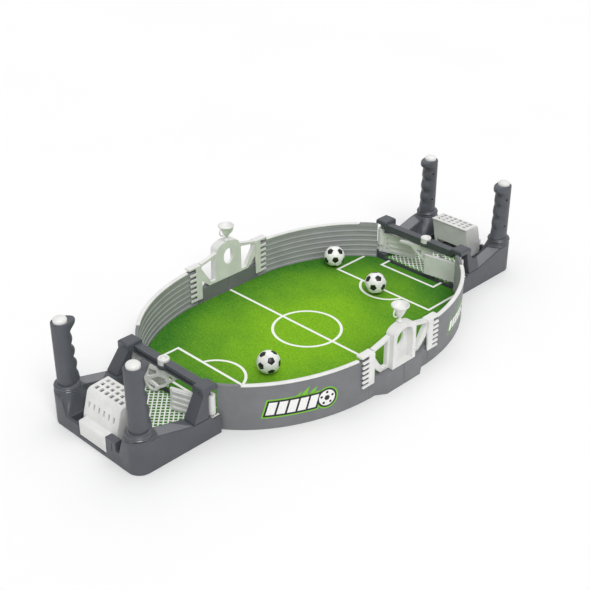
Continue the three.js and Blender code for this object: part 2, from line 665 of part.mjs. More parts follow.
// A small two-handled cup on the hump of a side frame.
function trophyCup() {
  const y = WALL.semiY - 3;
  const base = FRAME.humpTop + GAP;
  const profile = [
    [0, 0], [3.4, 0], [3.2, 1], [1.7, 2], [1.6, 4], [3.6, 7],
    [5, 10], [6.8, 15.4], [9.2, 17.2], [9.5, 18.4], [9, 19.2], [0, 19.2],
  ];
  let trophy = turned(profile.map(([radius, height]) => [radius, base + height]), [0, y]);
  for (const side of [1, -1]) {
    const [from, to] = [-Math.PI / 2, 0.36 * Math.PI];
    const arc = new THREE.EllipseCurve(5.2, base + 12.2, 5, 5.2, from, to, false, 0);
    const path = new THREE.CatmullRomCurve3(
      arc.getPoints(7).map((point) => new THREE.Vector3(side * point.x, y, point.y)),
    );
    const section = new THREE.Shape().absarc(0, 0, 0.8, 0, 2 * Math.PI);
    const options = { steps: 8, extrudePath: path, curveSegments: 3 };
    trophy = join(trophy, solidOf(new THREE.ExtrudeGeometry(section, options)));
  }
  return trophy;
}

function ball([x, y]) {
  const sphere = new THREE.SphereGeometry(BALL.radius, 18, 12).rotateX(Math.PI / 2);
  return solidOf(sphere.translate(x, y, TRAY_TOP + GAP + BALL.radius));
}

// ---- Assembly ----------------------------------------------------------------------------------

const group = new THREE.Group();

// One end of the game. back is the side whose flipper rests swung into the goal.
function makeEnd(end, backSide, forwardSide) {
  const assembly = new THREE.Group();
  assembly.add(
    piece(`${end}_console`, consoleBody(), DARK_GREY),
    piece(`${end}_goal_frame`, goalFrame(), DARK_GREY),
    piece(`${end}_catcher_hood`, catcherHood(), WHITE),
    piece(`${end}_net_floor`, netFloor(), TURF_GREEN),
    piece(`${end}_keeper`, keeperFigure(), WHITE),
    piece(`${end}_keeper_cap`, keeperCap(), WHITE),
  );
  for (const [side, sign, restAngle] of [[backSide, 1, REST_BACK], [forwardSide, -1, REST_FORWARD]]) {
    const place = (solid) => (sign > 0 ? solid : mirrorY(solid));
    const named = (name, solid, look) => assembly.add(piece(`${end}_${side}_${name}`, place(solid), look));
    named("grip_plain_half", gripHalf(sign, false), DARK_GREY);
    named("grip_screw_half", gripHalf(-sign, true), DARK_GREY);
    named("button_plunger", plunger(), WHITE);
    named("return_spring", returnSpring(), STEEL);
    named("drive_link", driveLink(), WHITE);
    named("flipper", flipper(restAngle, side === backSide), WHITE);
    named("hinge_pin", hingePin(), STEEL);
  }
  return assembly;
}

const rightEnd = makeEnd("right", "back", "front");
const leftEnd = makeEnd("left", "front", "back");
leftEnd.rotation.z = Math.PI;
group.add(rightEnd, leftEnd);

for (const [corner, signX, signY] of [
  ["right_back", 1, 1],
  ["left_back", -1, 1],
  ["left_front", -1, -1],
  ["right_front", 1, -1],
]) {
  const place = (solid) => solidOf(flipped(geometryOf(solid), signX, signY));
  group.add(piece(`${corner}_wall`, place(pitchWall()), WALL_GREY));
  group.add(piece(`${corner}_rim_strip`, place(rimStrip()), WHITE));
}

for (const [side, turn] of [["back", 0], ["front", Math.PI]]) {
  const assembly = new THREE.Group();
  assembly.rotation.z = turn;
  assembly.add(piece(`${side}_side_frame`, sideFrame(), WHITE));
  assembly.add(piece(`${side}_trophy_cup`, trophyCup(), WHITE));
  group.add(assembly);
}

for (const [end, turn] of [["right", 0], ["left", Math.PI]]) {
  const base = piece(`${end}_base_half`, baseHalf(), WALL_GREY);
  base.rotation.z = turn;
  group.add(base);
}

group.add(piece("turf_sheet", turfSheet(), TURF_GREEN));
for (const [number, spot] of Object.entries(BALL_SPOTS)) {
  group.add(piece(`ball_${number}`, ball(spot), WHITE));
}

export default group;
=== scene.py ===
"""The looks of a tabletop football game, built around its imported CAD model.

Shapes are worked out in millimetres in the CAD model's frame: origin at the bottom centre, X along
the pitch, +Z up. Objects are made in metres.
"""
import json
import math

import bmesh
import bpy
from mathutils import Euler, Matrix, Vector

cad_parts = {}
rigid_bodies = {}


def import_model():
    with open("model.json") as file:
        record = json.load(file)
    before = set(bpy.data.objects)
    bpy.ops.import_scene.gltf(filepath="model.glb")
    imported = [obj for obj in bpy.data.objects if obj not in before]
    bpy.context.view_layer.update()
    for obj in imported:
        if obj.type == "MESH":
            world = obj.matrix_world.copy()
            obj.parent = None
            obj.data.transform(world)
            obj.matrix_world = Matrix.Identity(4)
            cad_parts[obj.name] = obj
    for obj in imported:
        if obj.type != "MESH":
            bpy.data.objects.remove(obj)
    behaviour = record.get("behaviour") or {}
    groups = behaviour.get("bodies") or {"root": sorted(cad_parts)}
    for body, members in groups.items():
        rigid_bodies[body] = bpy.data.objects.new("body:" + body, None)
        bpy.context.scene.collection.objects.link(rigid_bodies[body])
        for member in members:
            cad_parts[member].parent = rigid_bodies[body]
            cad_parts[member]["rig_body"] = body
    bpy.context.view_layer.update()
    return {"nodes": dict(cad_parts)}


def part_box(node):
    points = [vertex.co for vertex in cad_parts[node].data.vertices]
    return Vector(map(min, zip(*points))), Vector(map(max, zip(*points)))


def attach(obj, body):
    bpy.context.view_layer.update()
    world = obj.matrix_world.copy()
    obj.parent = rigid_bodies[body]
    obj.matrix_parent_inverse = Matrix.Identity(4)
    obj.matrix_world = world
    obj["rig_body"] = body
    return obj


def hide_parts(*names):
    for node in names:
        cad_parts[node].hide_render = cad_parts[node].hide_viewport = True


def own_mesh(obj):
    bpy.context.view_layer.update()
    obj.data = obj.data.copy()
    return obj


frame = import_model()

MM = 0.001

# ---- Driving dimensions, in millimetres, as the CAD model has them ---------------------------------

ENDS = {"right": 1, "left": -1}  # name and the sign of X
SIDES = {"back": 1, "front": -1}  # name and the sign of Y

HANDLE_X = 276
HANDLE_Y = 55
HANDLE_RADIUS = 9.4
HANDLE_BOTTOM = 43.7
HANDLE_TOP = 111
SCREW_HEIGHTS = (60, 94)

BUTTON_RADIUS = 7
BUTTON_BOTTOM = 105
BUTTON_TOP = 115.7
STEM_RADIUS = 2.4
WEDGE_MIDDLE = 17.4
SPRING_BOTTOM = 80.3
SPRING_TOP = 104.7
SPRING_MIDDLE_RADIUS = 4.1
SPRING_WIRE = 0.5
SPRING_TURNS = 9

WALL_STRAIGHT = 34.4
WALL_SEMI_X = 172.2
WALL_SEMI_Y = 132
WALL_THICKNESS = 3.4
WALL_START_X = 47
WALL_END_X = 187
WALL_TOP = 52
RIM_START_X = 61.5
RIM_END_X = 172
RIM_OVERHANG = 0.5
RIM_HEIGHT = 1.6

TURF_TOP = 7.6
LINE_WIDTH = 3.0
CENTRE_CIRCLE = 38
BOX_X = 126
BOX_HALF_WIDTH = 70
GOAL_BOX_X = 172
GOAL_BOX_HALF_WIDTH = 40
ARC_RADIUS = 32
ARC_BACK = 10  # its centre lies this far behind the penalty area's line

NET_X = (189.6, 247.6)
NET_HALF_WIDTH = 49
NET_TOP = 8.5
NET_CELL = 6.6
NET_STRAND = 1.5
NET_THICKNESS = 0.25

HUMP_TOP = 71.3
CUP_Y = 129
BALL_RADIUS = 12.5

# ---- Colours and materials -------------------------------------------------------------------------


def linear(red, green, blue):
    """A colour given as 0 to 255 on screen, as the renderer's linear colour."""
    return tuple((c / 255 / 12.92) if c < 10 else (((c / 255) + 0.055) / 1.055) ** 2.4
                 for c in (red, green, blue)) + (1.0,)


def shaded(colour, share):
    """A colour made darker or lighter by a share."""
    return tuple(c * share for c in colour[:3]) + (1.0,)


class Nodes:
    """A material's node tree, with short calls for the nodes that these materials use."""

    def __init__(self, name):
        self.material = bpy.data.materials.new(name)
        self.material.use_nodes = True
        self.tree = self.material.node_tree
        self.shader = self.tree.nodes["Principled BSDF"]
        self.place = self.tree.nodes.new("ShaderNodeTexCoord").outputs["Object"]

    def add(self, kind, links=None, **settings):
        node = self.tree.nodes.new(kind)
        for key, value in settings.items():
            setattr(node, key, value)
        for socket, source in (links or {}).items():
            if isinstance(source, bpy.types.NodeSocket):
                self.tree.links.new(source, node.inputs[socket])
            else:
                node.inputs[socket].default_value = source
        return node

    def noise(self, per_metre, detail, roughness=0.55, place=None):
        links = {"Vector": place or self.place, "Scale": per_metre, "Detail": detail}
        links["Roughness"] = roughness
        return self.add("ShaderNodeTexNoise", links).outputs["Fac"]

    def ranged(self, value, low, high, to_low=0.0, to_high=1.0):
        links = {"Value": value, "From Min": low, "From Max": high, "To Min": to_low, "To Max": to_high}
        return self.add("ShaderNodeMapRange", links).outputs["Result"]

    def mixed(self, share, first, second):
        """A colour between first and second. The node's colour sockets are inputs 6 and 7, output 2."""
        return self.add("ShaderNodeMix", {0: share, 6: first, 7: second}, data_type="RGBA").outputs[2]

    def maths(self, operation, first, second):
        return self.add("ShaderNodeMath", {0: first, 1: second}, operation=operation).outputs[0]

    def edges(self, radius):
        """1 on outer edges, which the plastics paint lighter, partly as wear and partly as a painted
        highlight, 0 on flat faces.
        """
        rounded = self.add("ShaderNodeBevel", {"Radius": radius * MM}, samples=4).outputs["Normal"]
        flat = self.add("ShaderNodeNewGeometry").outputs["Normal"]
        facing = self.add("ShaderNodeVectorMath", {0: rounded, 1: flat}, operation="DOT_PRODUCT")
        return self.ranged(facing.outputs["Value"], 0.97, 0.80)

    def bump(self, height, depth):
        links = {"Height": height, "Distance": depth * MM, "Strength": 1.0}
        self.finish("Normal", self.add("ShaderNodeBump", links).outputs["Normal"])

    def finish(self, socket, source):
        """Sets or links one of the shader's own sockets."""
        if isinstance(source, bpy.types.NodeSocket):
            self.tree.links.new(source, self.shader.inputs[socket])
        else:
            self.shader.inputs[socket].default_value = source


def moulded_plastic(name, colour, roughness, grain, edge_wear_and_highlight, gloss=0.5):
    """Injection-moulded plastic: faint flow mottling, a fine spark-eroded grain, and outer edges painted
    lighter, partly as wear and partly as a painted highlight.
    """
    nodes = Nodes(name)
    mottle = nodes.ranged(nodes.noise(55, 4), 0.35, 0.65)
    speck = nodes.ranged(nodes.noise(2600, 2), 0.4, 0.6)
    flow = nodes.mixed(mottle, shaded(colour, 0.93), shaded(colour, 1.05))
    body = nodes.mixed(nodes.maths("MULTIPLY", speck, 0.12), flow, shaded(colour, 0.72))
    # Outer edges take a lighter tone: partly wear, partly a painted highlight along the edges.
    nodes.finish("Base Color", nodes.mixed(nodes.edges(0.7), body, shaded(colour, edge_wear_and_highlight)))
    polish = nodes.noise(240, 3)
    nodes.finish("Roughness", nodes.ranged(polish, 0.3, 0.7, roughness - 0.06, roughness + 0.08))
    nodes.finish("Specular IOR Level", gloss)
    nodes.bump(nodes.noise(3200, 3, 0.6), grain)
    return nodes.material


def turf_print():
    """Short printed grass: lime in the middle, deep green by the walls, with a speckle of blades."""
    nodes = Nodes("turf_print")
    lime = linear(132, 192, 12)
    deep = linear(24, 112, 30)
    per_metre = (4.9, 7.3, 0)  # 1 is about the wall, along X and along Y
    scaled = nodes.add("ShaderNodeVectorMath", {0: nodes.place, 1: per_metre}, operation="MULTIPLY")
    length = nodes.add("ShaderNodeVectorMath", {0: scaled.outputs[0]}, operation="LENGTH")
    reach = length.outputs["Value"]
    wander = nodes.ranged(nodes.noise(16, 3), 0.3, 0.7, -0.14, 0.14)
    edge = nodes.ranged(nodes.maths("ADD", reach, wander), 0.3, 0.96)
    ground = nodes.mixed(edge, lime, deep)
    lean = {"Vector": nodes.place, "Scale": (1.0, 1.7, 1.0), "Rotation": (0, 0, 0.6)}
    blades = nodes.add("ShaderNodeMapping", lean).outputs["Vector"]
    speck = nodes.ranged(nodes.noise(620, 4, 0.7, blades), 0.38, 0.66)
    tips = nodes.ranged(nodes.noise(1400, 2, 0.5), 0.45, 0.7)
    shadowed = nodes.mixed(nodes.maths("MULTIPLY", speck, 0.62), ground, linear(30, 104, 22))
    tip_share = nodes.maths("MULTIPLY", tips, 0.3)
    nodes.finish("Base Color", nodes.mixed(tip_share, shadowed, linear(190, 226, 74)))
    nodes.finish("Roughness", nodes.ranged(speck, 0, 1, 0.74, 0.9))
    nodes.finish("Specular IOR Level", 0.2)
    nodes.bump(nodes.maths("ADD", speck, tips), 0.12)
    return nodes.material


def printed_ink(name, colour, roughness):
    """A screen-printed or painted layer, slightly uneven in density."""
    nodes = Nodes(name)
    density = nodes.ranged(nodes.noise(900, 3), 0.35, 0.65)
    nodes.finish("Base Color", nodes.mixed(density, shaded(colour, 0.9), shaded(colour, 1.03)))
    polish = nodes.noise(400, 2)
    nodes.finish("Roughness", nodes.ranged(polish, 0.3, 0.7, roughness - 0.05, roughness + 0.07))
    nodes.bump(nodes.noise(2200, 2), 0.015)
    return nodes.material


def drawn_steel(name):
    """Bright wire and pin stock, with fine drawing marks."""
    nodes = Nodes(name)
    stretched = {"Vector": nodes.place, "Scale": (1.0, 1.0, 0.08)}
    marks = nodes.add("ShaderNodeMapping", stretched).outputs["Vector"]
    lines = nodes.noise(3000, 3, 0.6, marks)
    nodes.finish("Base Color", nodes.mixed(lines, linear(150, 152, 156), linear(206, 208, 212)))
    nodes.finish("Metallic", 1.0)
    nodes.finish("Roughness", nodes.ranged(lines, 0.3, 0.7, 0.2, 0.38))
    nodes.bump(lines, 0.01)
    return nodes.material


# A material and the slot of the record that it belongs to, by look.
LOOKS = {
    "console": (moulded_plastic("console_plastic", linear(80, 83, 89), 0.4, 0.05, 1.6), "console_grey"),
    "pad": (moulded_plastic("console_pad", linear(122, 124, 128), 0.5, 0.05, 1.3), "console_grey"),
    "collar": (moulded_plastic("collar_gloss", linear(84, 87, 93), 0.2, 0.02, 1.5, 0.8), "console_grey"),
    "wall": (moulded_plastic("wall_plastic", linear(118, 119, 122), 0.44, 0.04, 1.35), "wall_grey"),
    # The wall's inner faces use a lighter copy of its plastic: painted light, so the inside looks more
    # brightly lit than the outside.
    "wall_inner_painted_light": (moulded_plastic("wall_plastic_painted_lighter", linear(164, 164, 167), 0.5, 0.04, 1.15), "wall_grey"),
    "trim": (moulded_plastic("white_plastic", linear(230, 230, 228), 0.34, 0.03, 1.06), "white_trim"),
    "turf": (turf_print(), "green_print"),
    "line": (printed_ink("line_print", linear(244, 246, 240), 0.7), "white_trim"),
    "banner_white": (printed_ink("banner_white", linear(246, 246, 244), 0.35), "white_trim"),
    "banner_black": (printed_ink("banner_black", linear(20, 22, 22), 0.35), "green_print"),
    "banner_green": (printed_ink("banner_green", linear(120, 196, 40), 0.35), "green_print"),
    "steel": (drawn_steel("drawn_steel"), "spring_steel"),
    "ball": (moulded_plastic("ball_white", linear(244, 244, 242), 0.3, 0.02, 1.02), "ball_white"),
    "ball_black": (moulded_plastic("ball_black", linear(24, 24, 27), 0.32, 0.02, 1.5), "ball_white"),
}

# ---- Making pieces ---------------------------------------------------------------------------------


def shade(mesh, sharp):
    """Smooth shading, broken at edges that turn by more than sharp degrees."""
    mesh.shade_smooth()
    mesh.set_sharp_from_angle(angle=math.radians(sharp))


def settle(obj, look, body, replaced=(), sharp=38):
    """Gives a finished mesh its shading, material and body, and hides the CAD nodes it stands for."""
    shade(obj.data, sharp)
    material, slot_name = LOOKS[look]
    if not obj.data.materials:
        obj.data.materials.append(material)
    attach(obj, body)
    if replaced:
        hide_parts(*replaced)
    return obj


def linked(name, data):
    """A new object, put into the scene, for a mesh, a light or a camera."""
    obj = bpy.data.objects.new(name, data)
    bpy.context.scene.collection.objects.link(obj)
    return obj


def linked_work(name, work):
    """A new object holding work's mesh, which ends the work."""
    mesh = bpy.data.meshes.new(name)
    work.to_mesh(mesh)
    work.free()
    return linked(name, mesh)


def mesh_from(name, vertices, faces):
    """A mesh from vertices in millimetres, with its faces turned outwards."""
    mesh = bpy.data.meshes.new(name)
    mesh.from_pydata([Vector(v) * MM for v in vertices], [], faces)
    work = bmesh.new()
    work.from_mesh(mesh)
    bmesh.ops.recalc_face_normals(work, faces=work.faces)
    work.to_mesh(mesh)
    work.free()
    return mesh


def solid(name, vertices, faces, look, body, replaced=(), sharp=38):
    """A closed piece from vertices in millimetres."""
    return settle(linked(name, mesh_from(name, vertices, faces)), look, body, replaced, sharp)


def loft(rings, closed=False):
    """Vertices and faces of a skin through rings with equal counts, capped at its ends unless closed."""
    count = len(rings[0])
    vertices = [point for ring in rings for point in ring]
    faces = []
    for row in range(len(rings) if closed else len(rings) - 1):
        first = row * count
        second = ((row + 1) % len(rings)) * count
        for i in range(count):
            j = (i + 1) % count
            faces.append((first + i, first + j, second + j, second + i))
    if not closed:
        last = (len(rings) - 1) * count
        faces.append(tuple(reversed(range(count))))
        faces.append(tuple(range(last, last + count)))
    return vertices, faces


def joined(*parts):
    """Several (vertices, faces) as one."""
    vertices, faces = [], []
    for more_vertices, more_faces in parts:
        start = len(vertices)
        vertices.extend(more_vertices)
        faces.extend(tuple(start + i for i in face) for face in more_faces)
    return vertices, faces


def round_angles(count):
    return [2 * math.pi * k / count for k in range(count)]


def turned(profile, centre, count=48):
    """A skin of revolution through (radius, z) points about a vertical axis."""
    x, y = centre
    rings = []
    for radius, z in profile:
        rings.append([(x + radius * math.cos(a), y + radius * math.sin(a), z) for a in round_angles(count)])
    return loft(rings)


def swept(points, radius, count):
    """A round rod along a list of points."""
    rings = []
    across = None
    for i, point in enumerate(points):
        before = points[max(i - 1, 0)]
        after = points[min(i + 1, len(points) - 1)]
        along = (Vector(after) - Vector(before)).normalized()
        if across is None:
            across = along.orthogonal().normalized()
        else:
            across = (across - along * across.dot(along)).normalized()
        other = along.cross(across)
        ring = []
        for angle in round_angles(count):
            ring.append(Vector(point) + radius * (math.cos(angle) * across + math.sin(angle) * other))
        rings.append(ring)
    return loft(rings)


def flipped(vertices, sign_x, sign_y):
    """Vertices moved to another quadrant of the plan."""
    return [(sign_x * v[0], sign_y * v[1], v[2]) for v in vertices]


def box(x, y, z):
    (x0, x1), (y0, y1), (z0, z1) = x, y, z
    base = [(x0, y0), (x1, y0), (x1, y1), (x0, y1)]
    return loft([[(a, b, z0) for a, b in base], [(a, b, z1) for a, b in base]])


def tool_from(parts, sign_x=1):
    """A boolean tool from closed parts, moved to the end on the side sign_x."""
    vertices, faces = joined(*parts)
    return linked("tool", mesh_from("tool", flipped(vertices, sign_x, 1), faces))


def carve(obj, tool, operation="DIFFERENCE"):
    """Cuts tool from obj's mesh, or joins it on, and removes the tool."""
    modifier = obj.modifiers.new("carve", "BOOLEAN")
    modifier.operation = operation
    modifier.solver = "EXACT"
    modifier.object = tool
    bpy.context.view_layer.update()
    evaluated = obj.evaluated_get(bpy.context.evaluated_depsgraph_get())
    carved = bpy.data.meshes.new_from_object(evaluated)
    obj.modifiers.remove(modifier)
    obj.data = carved
    bpy.data.objects.remove(tool)


WELD = 0.004  # vertices nearer than this are one
BEVEL_WELD = 0.01  # the same, after the rounding
FLAT_ANGLE = 0.8  # degrees between faces that are one flat face
CREASE_ANGLE = 40  # degrees at an edge that gets rounded
ROOM = 2.2  # an edge needs this many times its rounding in length


def is_sharp(edge):
    return len(edge.link_faces) == 2 and edge.calc_face_angle() > math.radians(CREASE_ANGLE)


def is_roomy(edge, needed):
    """True where the edge and those that meet it are long enough to be rounded without crossing."""
    around = {other for vertex in edge.verts for other in vertex.link_edges}
    return all(other.calc_length() > needed for other in around)


def refined(node, look, bevel):
    """A CAD node's shape with its flat faces whole again and its sharp edges rounded."""
    source = frame["nodes"][node]
    work = bmesh.new()
    work.from_mesh(source.data)
    bmesh.ops.remove_doubles(work, verts=work.verts, dist=WELD * MM)
    bmesh.ops.dissolve_limit(work, angle_limit=math.radians(FLAT_ANGLE), verts=work.verts, edges=work.edges)
    sharp = [edge for edge in work.edges if is_sharp(edge) and is_roomy(edge, ROOM * bevel * MM)]
    bmesh.ops.bevel(
        work, geom=sharp, offset=bevel * MM, offset_type="OFFSET", segments=2, profile=0.5,
        affect="EDGES", clamp_overlap=False,
    )
    bmesh.ops.remove_doubles(work, verts=work.verts, dist=BEVEL_WELD * MM)
    obj = linked_work(node + "_skin", work)
    settle(obj, look, source["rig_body"], [node], 50)
    even = obj.modifiers.new("even_faces", "WEIGHTED_NORMAL")
    even.keep_sharp = True


# ---- Grips, buttons and springs --------------------------------------------------------------------

# How far a grip reaches towards the pitch at each height: a foot, three finger grooves, a beak.
GRIP_REACH = (
    (43.7, 14.2), (50, 13.2), (56, 11.2), (60.5, 12.6), (64.5, 12.2), (70, 9.2), (75, 11.6), (79, 11.4),
    (85, 8.2), (90, 10.2), (94, 9.6), (98.6, 8.4), (102, 10.8), (104.5, 14.6), (107.5, 16), (110, 15.2),
    (111, 13.6),
)
GRIP_LEVELS = 66
TOP_ROUND = 1.4  # the rounding of a grip's top rim
SEAM_DEPTH = 0.4
NARROWING = 0.16  # the share by which a grip thins towards the pitch
GRIP_BORE = (  # (radius, height), from the top down: the button's well, the spring's, the stem's
    (7.9, 111), (7.3, 110.4), (7.3, 100.4), (5.7, 100.4), (5.7, 80), (2.9, 80), (2.9, 72), (5.7, 72),
    (5.7, HANDLE_BOTTOM),
)
SCREW_HOLE = ((-3.0, 1.5), (1.3, 1.5), (1.7, 1.9), (4, 1.9))  # (depth outwards, radius)
DOME_BOTTOM = 112.2  # where a button's side ends and its dome begins
DOME_STEPS = 8


def smooth_reach(z):
    """The reach at a height, on a smooth curve through GRIP_REACH."""
    last = len(GRIP_REACH) - 2
    row = max(i for i in range(last + 1) if GRIP_REACH[i][0] <= z)
    (z0, a), (z1, b) = GRIP_REACH[row], GRIP_REACH[row + 1]
    before = GRIP_REACH[max(row - 1, 0)]
    after = GRIP_REACH[min(row + 2, last + 1)]
    slope_a = (b - before[1]) / (z1 - before[0])
    slope_b = (after[1] - a) / (after[0] - z0)
    t = (z - z0) / (z1 - z0)
    span = z1 - z0
    return (
        (2 * t**3 - 3 * t**2 + 1) * a
        + (t**3 - 2 * t**2 + t) * span * slope_a
        + (3 * t**2 - 2 * t**3) * b
        + (t**3 - t**2) * span * slope_b
    )


def grip_angles():
    """Angles round a grip, with a narrow groove's four edges on the seam at front and back."""
    angles = []
    for start in (0, math.pi):
        angles.extend((start - 0.07, start - 0.03, start + 0.03, start + 0.07))
        angles.extend(start + 0.07 + (math.pi - 0.14) * k / 24 for k in range(1, 24))
    return angles


def grip_ring(z, radius, reach, seam_depth):
    """A ring round a grip: round at the back, drawn out by reach and narrowed towards the pitch."""
    ring = []
    for angle in grip_angles():
        along, across = math.cos(angle), math.sin(angle)
        depth = seam_depth if abs(across) < 0.05 else 0
        narrow = 1 - NARROWING * along * along if along < 0 else 1
        outward = (radius if along > 0 else reach) - depth
        ring.append((HANDLE_X + outward * along, HANDLE_Y + radius * narrow * across, z))
    return ring


def grip(end, side):
    """A pistol grip, moulded in two halves that meet on a seam, bored for its button and spring."""
    rings = []
    for i in range(GRIP_LEVELS + 1):
        z = HANDLE_BOTTOM + (HANDLE_TOP - HANDLE_BOTTOM) * i / GRIP_LEVELS
        from_top = max(0.0, 1 - (HANDLE_TOP - z) / TOP_ROUND)
        shrink = TOP_ROUND * (1 - math.sqrt(1 - min(from_top, 1) ** 2))
        reach = smooth_reach(min(z, HANDLE_TOP - 0.01))
        rings.append(grip_ring(z, HANDLE_RADIUS - shrink, reach - shrink, SEAM_DEPTH))
    shoulder = HANDLE_TOP - 0.35
    rings.insert(-1, grip_ring(shoulder, HANDLE_RADIUS - 0.5, smooth_reach(shoulder) - 0.5, SEAM_DEPTH))
    rings.extend(grip_ring(z, radius, radius, 0) for radius, z in GRIP_BORE)
    vertices, faces = loft(rings, closed=True)
    vertices = flipped(vertices, ENDS[end], SIDES[side])
    name = f"{end}_{side}"
    halves = [f"{name}_grip_plain_half", f"{name}_grip_screw_half"]
    obj = solid(f"{name}_grip", vertices, faces, "console", "table", halves, 34)
    carve(obj, screw_hole_tool(end, side))
    shade(obj.data, 34)


def screw_hole_tool(end, side):
    """The two screw holes of a grip: they face -Y at the right end and +Y at the left end."""
    facing = -ENDS[end]
    x = ENDS[end] * (HANDLE_X - 3)
    y = SIDES[side] * HANDLE_Y + facing * 9.6
    parts = []
    for z in SCREW_HEIGHTS:
        rings = []
        for depth, radius in SCREW_HOLE:
            ring_y = y + facing * (depth - 1.9)
            rings.append([(x + radius * math.cos(a), ring_y, z + radius * math.sin(a))
                          for a in round_angles(24)])
        parts.append(loft(rings))
    return tool_from(parts)


def button(end, side):
    """A domed thumb button on its stem, whose tip is cut at 45 degrees."""
    count = 48
    profile = [(STEM_RADIUS, 60), (STEM_RADIUS, BUTTON_BOTTOM), (BUTTON_RADIUS - 0.4, BUTTON_BOTTOM),
               (BUTTON_RADIUS, BUTTON_BOTTOM + 0.4), (BUTTON_RADIUS, DOME_BOTTOM)]
    for i in range(1, DOME_STEPS + 1):
        angle = math.pi / 2 * i / DOME_STEPS
        radius = BUTTON_RADIUS * math.cos(angle) ** 0.7 if i < DOME_STEPS else 0.5
        profile.append((radius, DOME_BOTTOM + (BUTTON_TOP - DOME_BOTTOM) * math.sin(angle)))
    tip = []
    for angle in round_angles(count):
        x = STEM_RADIUS * math.cos(angle)
        tip.append((HANDLE_X + x, HANDLE_Y + STEM_RADIUS * math.sin(angle), WEDGE_MIDDLE + x))
    above, _ = turned(profile, (HANDLE_X, HANDLE_Y), count)
    vertices, faces = loft([tip] + [above[i:i + count] for i in range(0, len(above), count)])
    vertices = flipped(vertices, ENDS[end], SIDES[side])
    node = f"{end}_{side}_button_plunger"
    solid(f"{end}_{side}_button", vertices, faces, "trim", node + "_body", [node], 40)


def collar(end, side):
    """The bead round a grip's foot: a proud ring over a dark undercut."""
    inner = HANDLE_RADIUS + 0.5
    profile = [(inner, 37.2), (12.6, 37.2), (12.9, 37.6), (12.9, 38.2), (12.2, 38.7), (12.0, 39.1)]
    bead_radius = 1.25
    for i in range(13):
        angle = -math.pi / 2 + math.pi * i / 12
        profile.append((12.15 + bead_radius * math.cos(angle), 40.6 + bead_radius * math.sin(angle)))
    profile.extend([(11.9, 42.3), (11.7, 43.1), (11.2, 43.5), (inner, 43.5)])
    vertices, faces = turned(profile, (HANDLE_X, HANDLE_Y), 64)
    vertices = flipped(vertices, ENDS[end], SIDES[side])
    solid(f"{end}_{side}_collar", vertices, faces, "collar", "table", (), 40)


def spring(end, side):
    """A coil return spring under the button, with flat closed ends."""
    steps = 14
    total = SPRING_TURNS * steps
    low, high = SPRING_BOTTOM + SPRING_WIRE, SPRING_TOP - SPRING_WIRE
    points = []
    for i in range(total + 1):
        angle = 2 * math.pi * i / steps
        rise = min(max((i - steps) / (total - 2 * steps), 0), 1)
        x = HANDLE_X + SPRING_MIDDLE_RADIUS * math.cos(angle)
        y = HANDLE_Y + SPRING_MIDDLE_RADIUS * math.sin(angle)
        points.append((x, y, low + (high - low) * rise))
    vertices, faces = swept(points, SPRING_WIRE, 8)
    vertices = flipped(vertices, ENDS[end], SIDES[side])
    node = f"{end}_{side}_return_spring"
    obj = solid(f"{end}_{side}_spring", vertices, faces, "steel", "table", [node])
    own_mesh(obj)


# ---- Pitch: walls, rims, turf, painted lines -------------------------------------------------------


def wall_angle(x):
    return math.acos(max(0, x - WALL_STRAIGHT) / WALL_SEMI_X)


def wall_point(angle, inset):
    """A point on the wall's outer path in the first quadrant, moved inwards by inset."""
    normal = Vector((math.cos(angle) / WALL_SEMI_X, math.sin(angle) / WALL_SEMI_Y)).normalized()
    x = WALL_STRAIGHT + WALL_SEMI_X * math.cos(angle) - inset * normal.x
    return x, WALL_SEMI_Y * math.sin(angle) - inset * normal.y


RIB_COUNT = 6
RIB_PITCH = 6.6
RIB_TOP = 47.4  # the highest rib's upper edge
RIB_DEPTH = 0.6
OUTER_POINTS = 5  # how many of a section's points are on its outer face and top


def wall_section(top):
    """The wall's section as (inset, z): smooth outside, a row of shallow ribs inside."""
    crest, valley = WALL_THICKNESS, WALL_THICKNESS - RIB_DEPTH
    section = [(0.5, 0), (0, 0.6), (0, top - 0.5), (0.5, top), (crest - 0.5, top), (crest, top - 0.5)]
    for rib in range(RIB_COUNT):
        z = RIB_TOP - rib * RIB_PITCH
        section.extend(((crest, z), (valley, z - 0.6), (valley, z - 4.6), (crest, z - 5.2)))
    section.extend(((crest, 0.6), (crest - 0.5, 0)))
    return section


def wall(corner, sign_x, sign_y):
    """A quarter of the pitch's wall: lowered under its rim strip, full height beyond it."""
    low = WALL_TOP - RIM_HEIGHT - 0.3
    start, step_at, end = (wall_angle(x) for x in (WALL_START_X, RIM_END_X + 1, WALL_END_X))
    steps = 60
    stations = [(start + (step_at - start) * i / steps, low) for i in range(steps + 1)]
    stations.extend((step_at + (end - step_at) * (i / 8), WALL_TOP) for i in range(9))
    rings = [[(*wall_point(angle, inset), z) for inset, z in wall_section(top)] for angle, top in stations]
    vertices, faces = loft(rings)
    vertices = flipped(vertices, sign_x, sign_y)
    obj = solid(f"{corner}_wall_ribbed", vertices, faces, "wall", "table", [f"{corner}_wall"], 30)
    # The inner ribbed faces get the lighter copy of the wall plastic: painted light on the inward side.
    obj.data.materials.append(LOOKS["wall_inner_painted_light"][0])
    count = len(rings[0])
    for face in obj.data.polygons:
        if face.loop_total == 4 and all(i % count >= OUTER_POINTS for i in face.vertices):
            face.material_index = 1


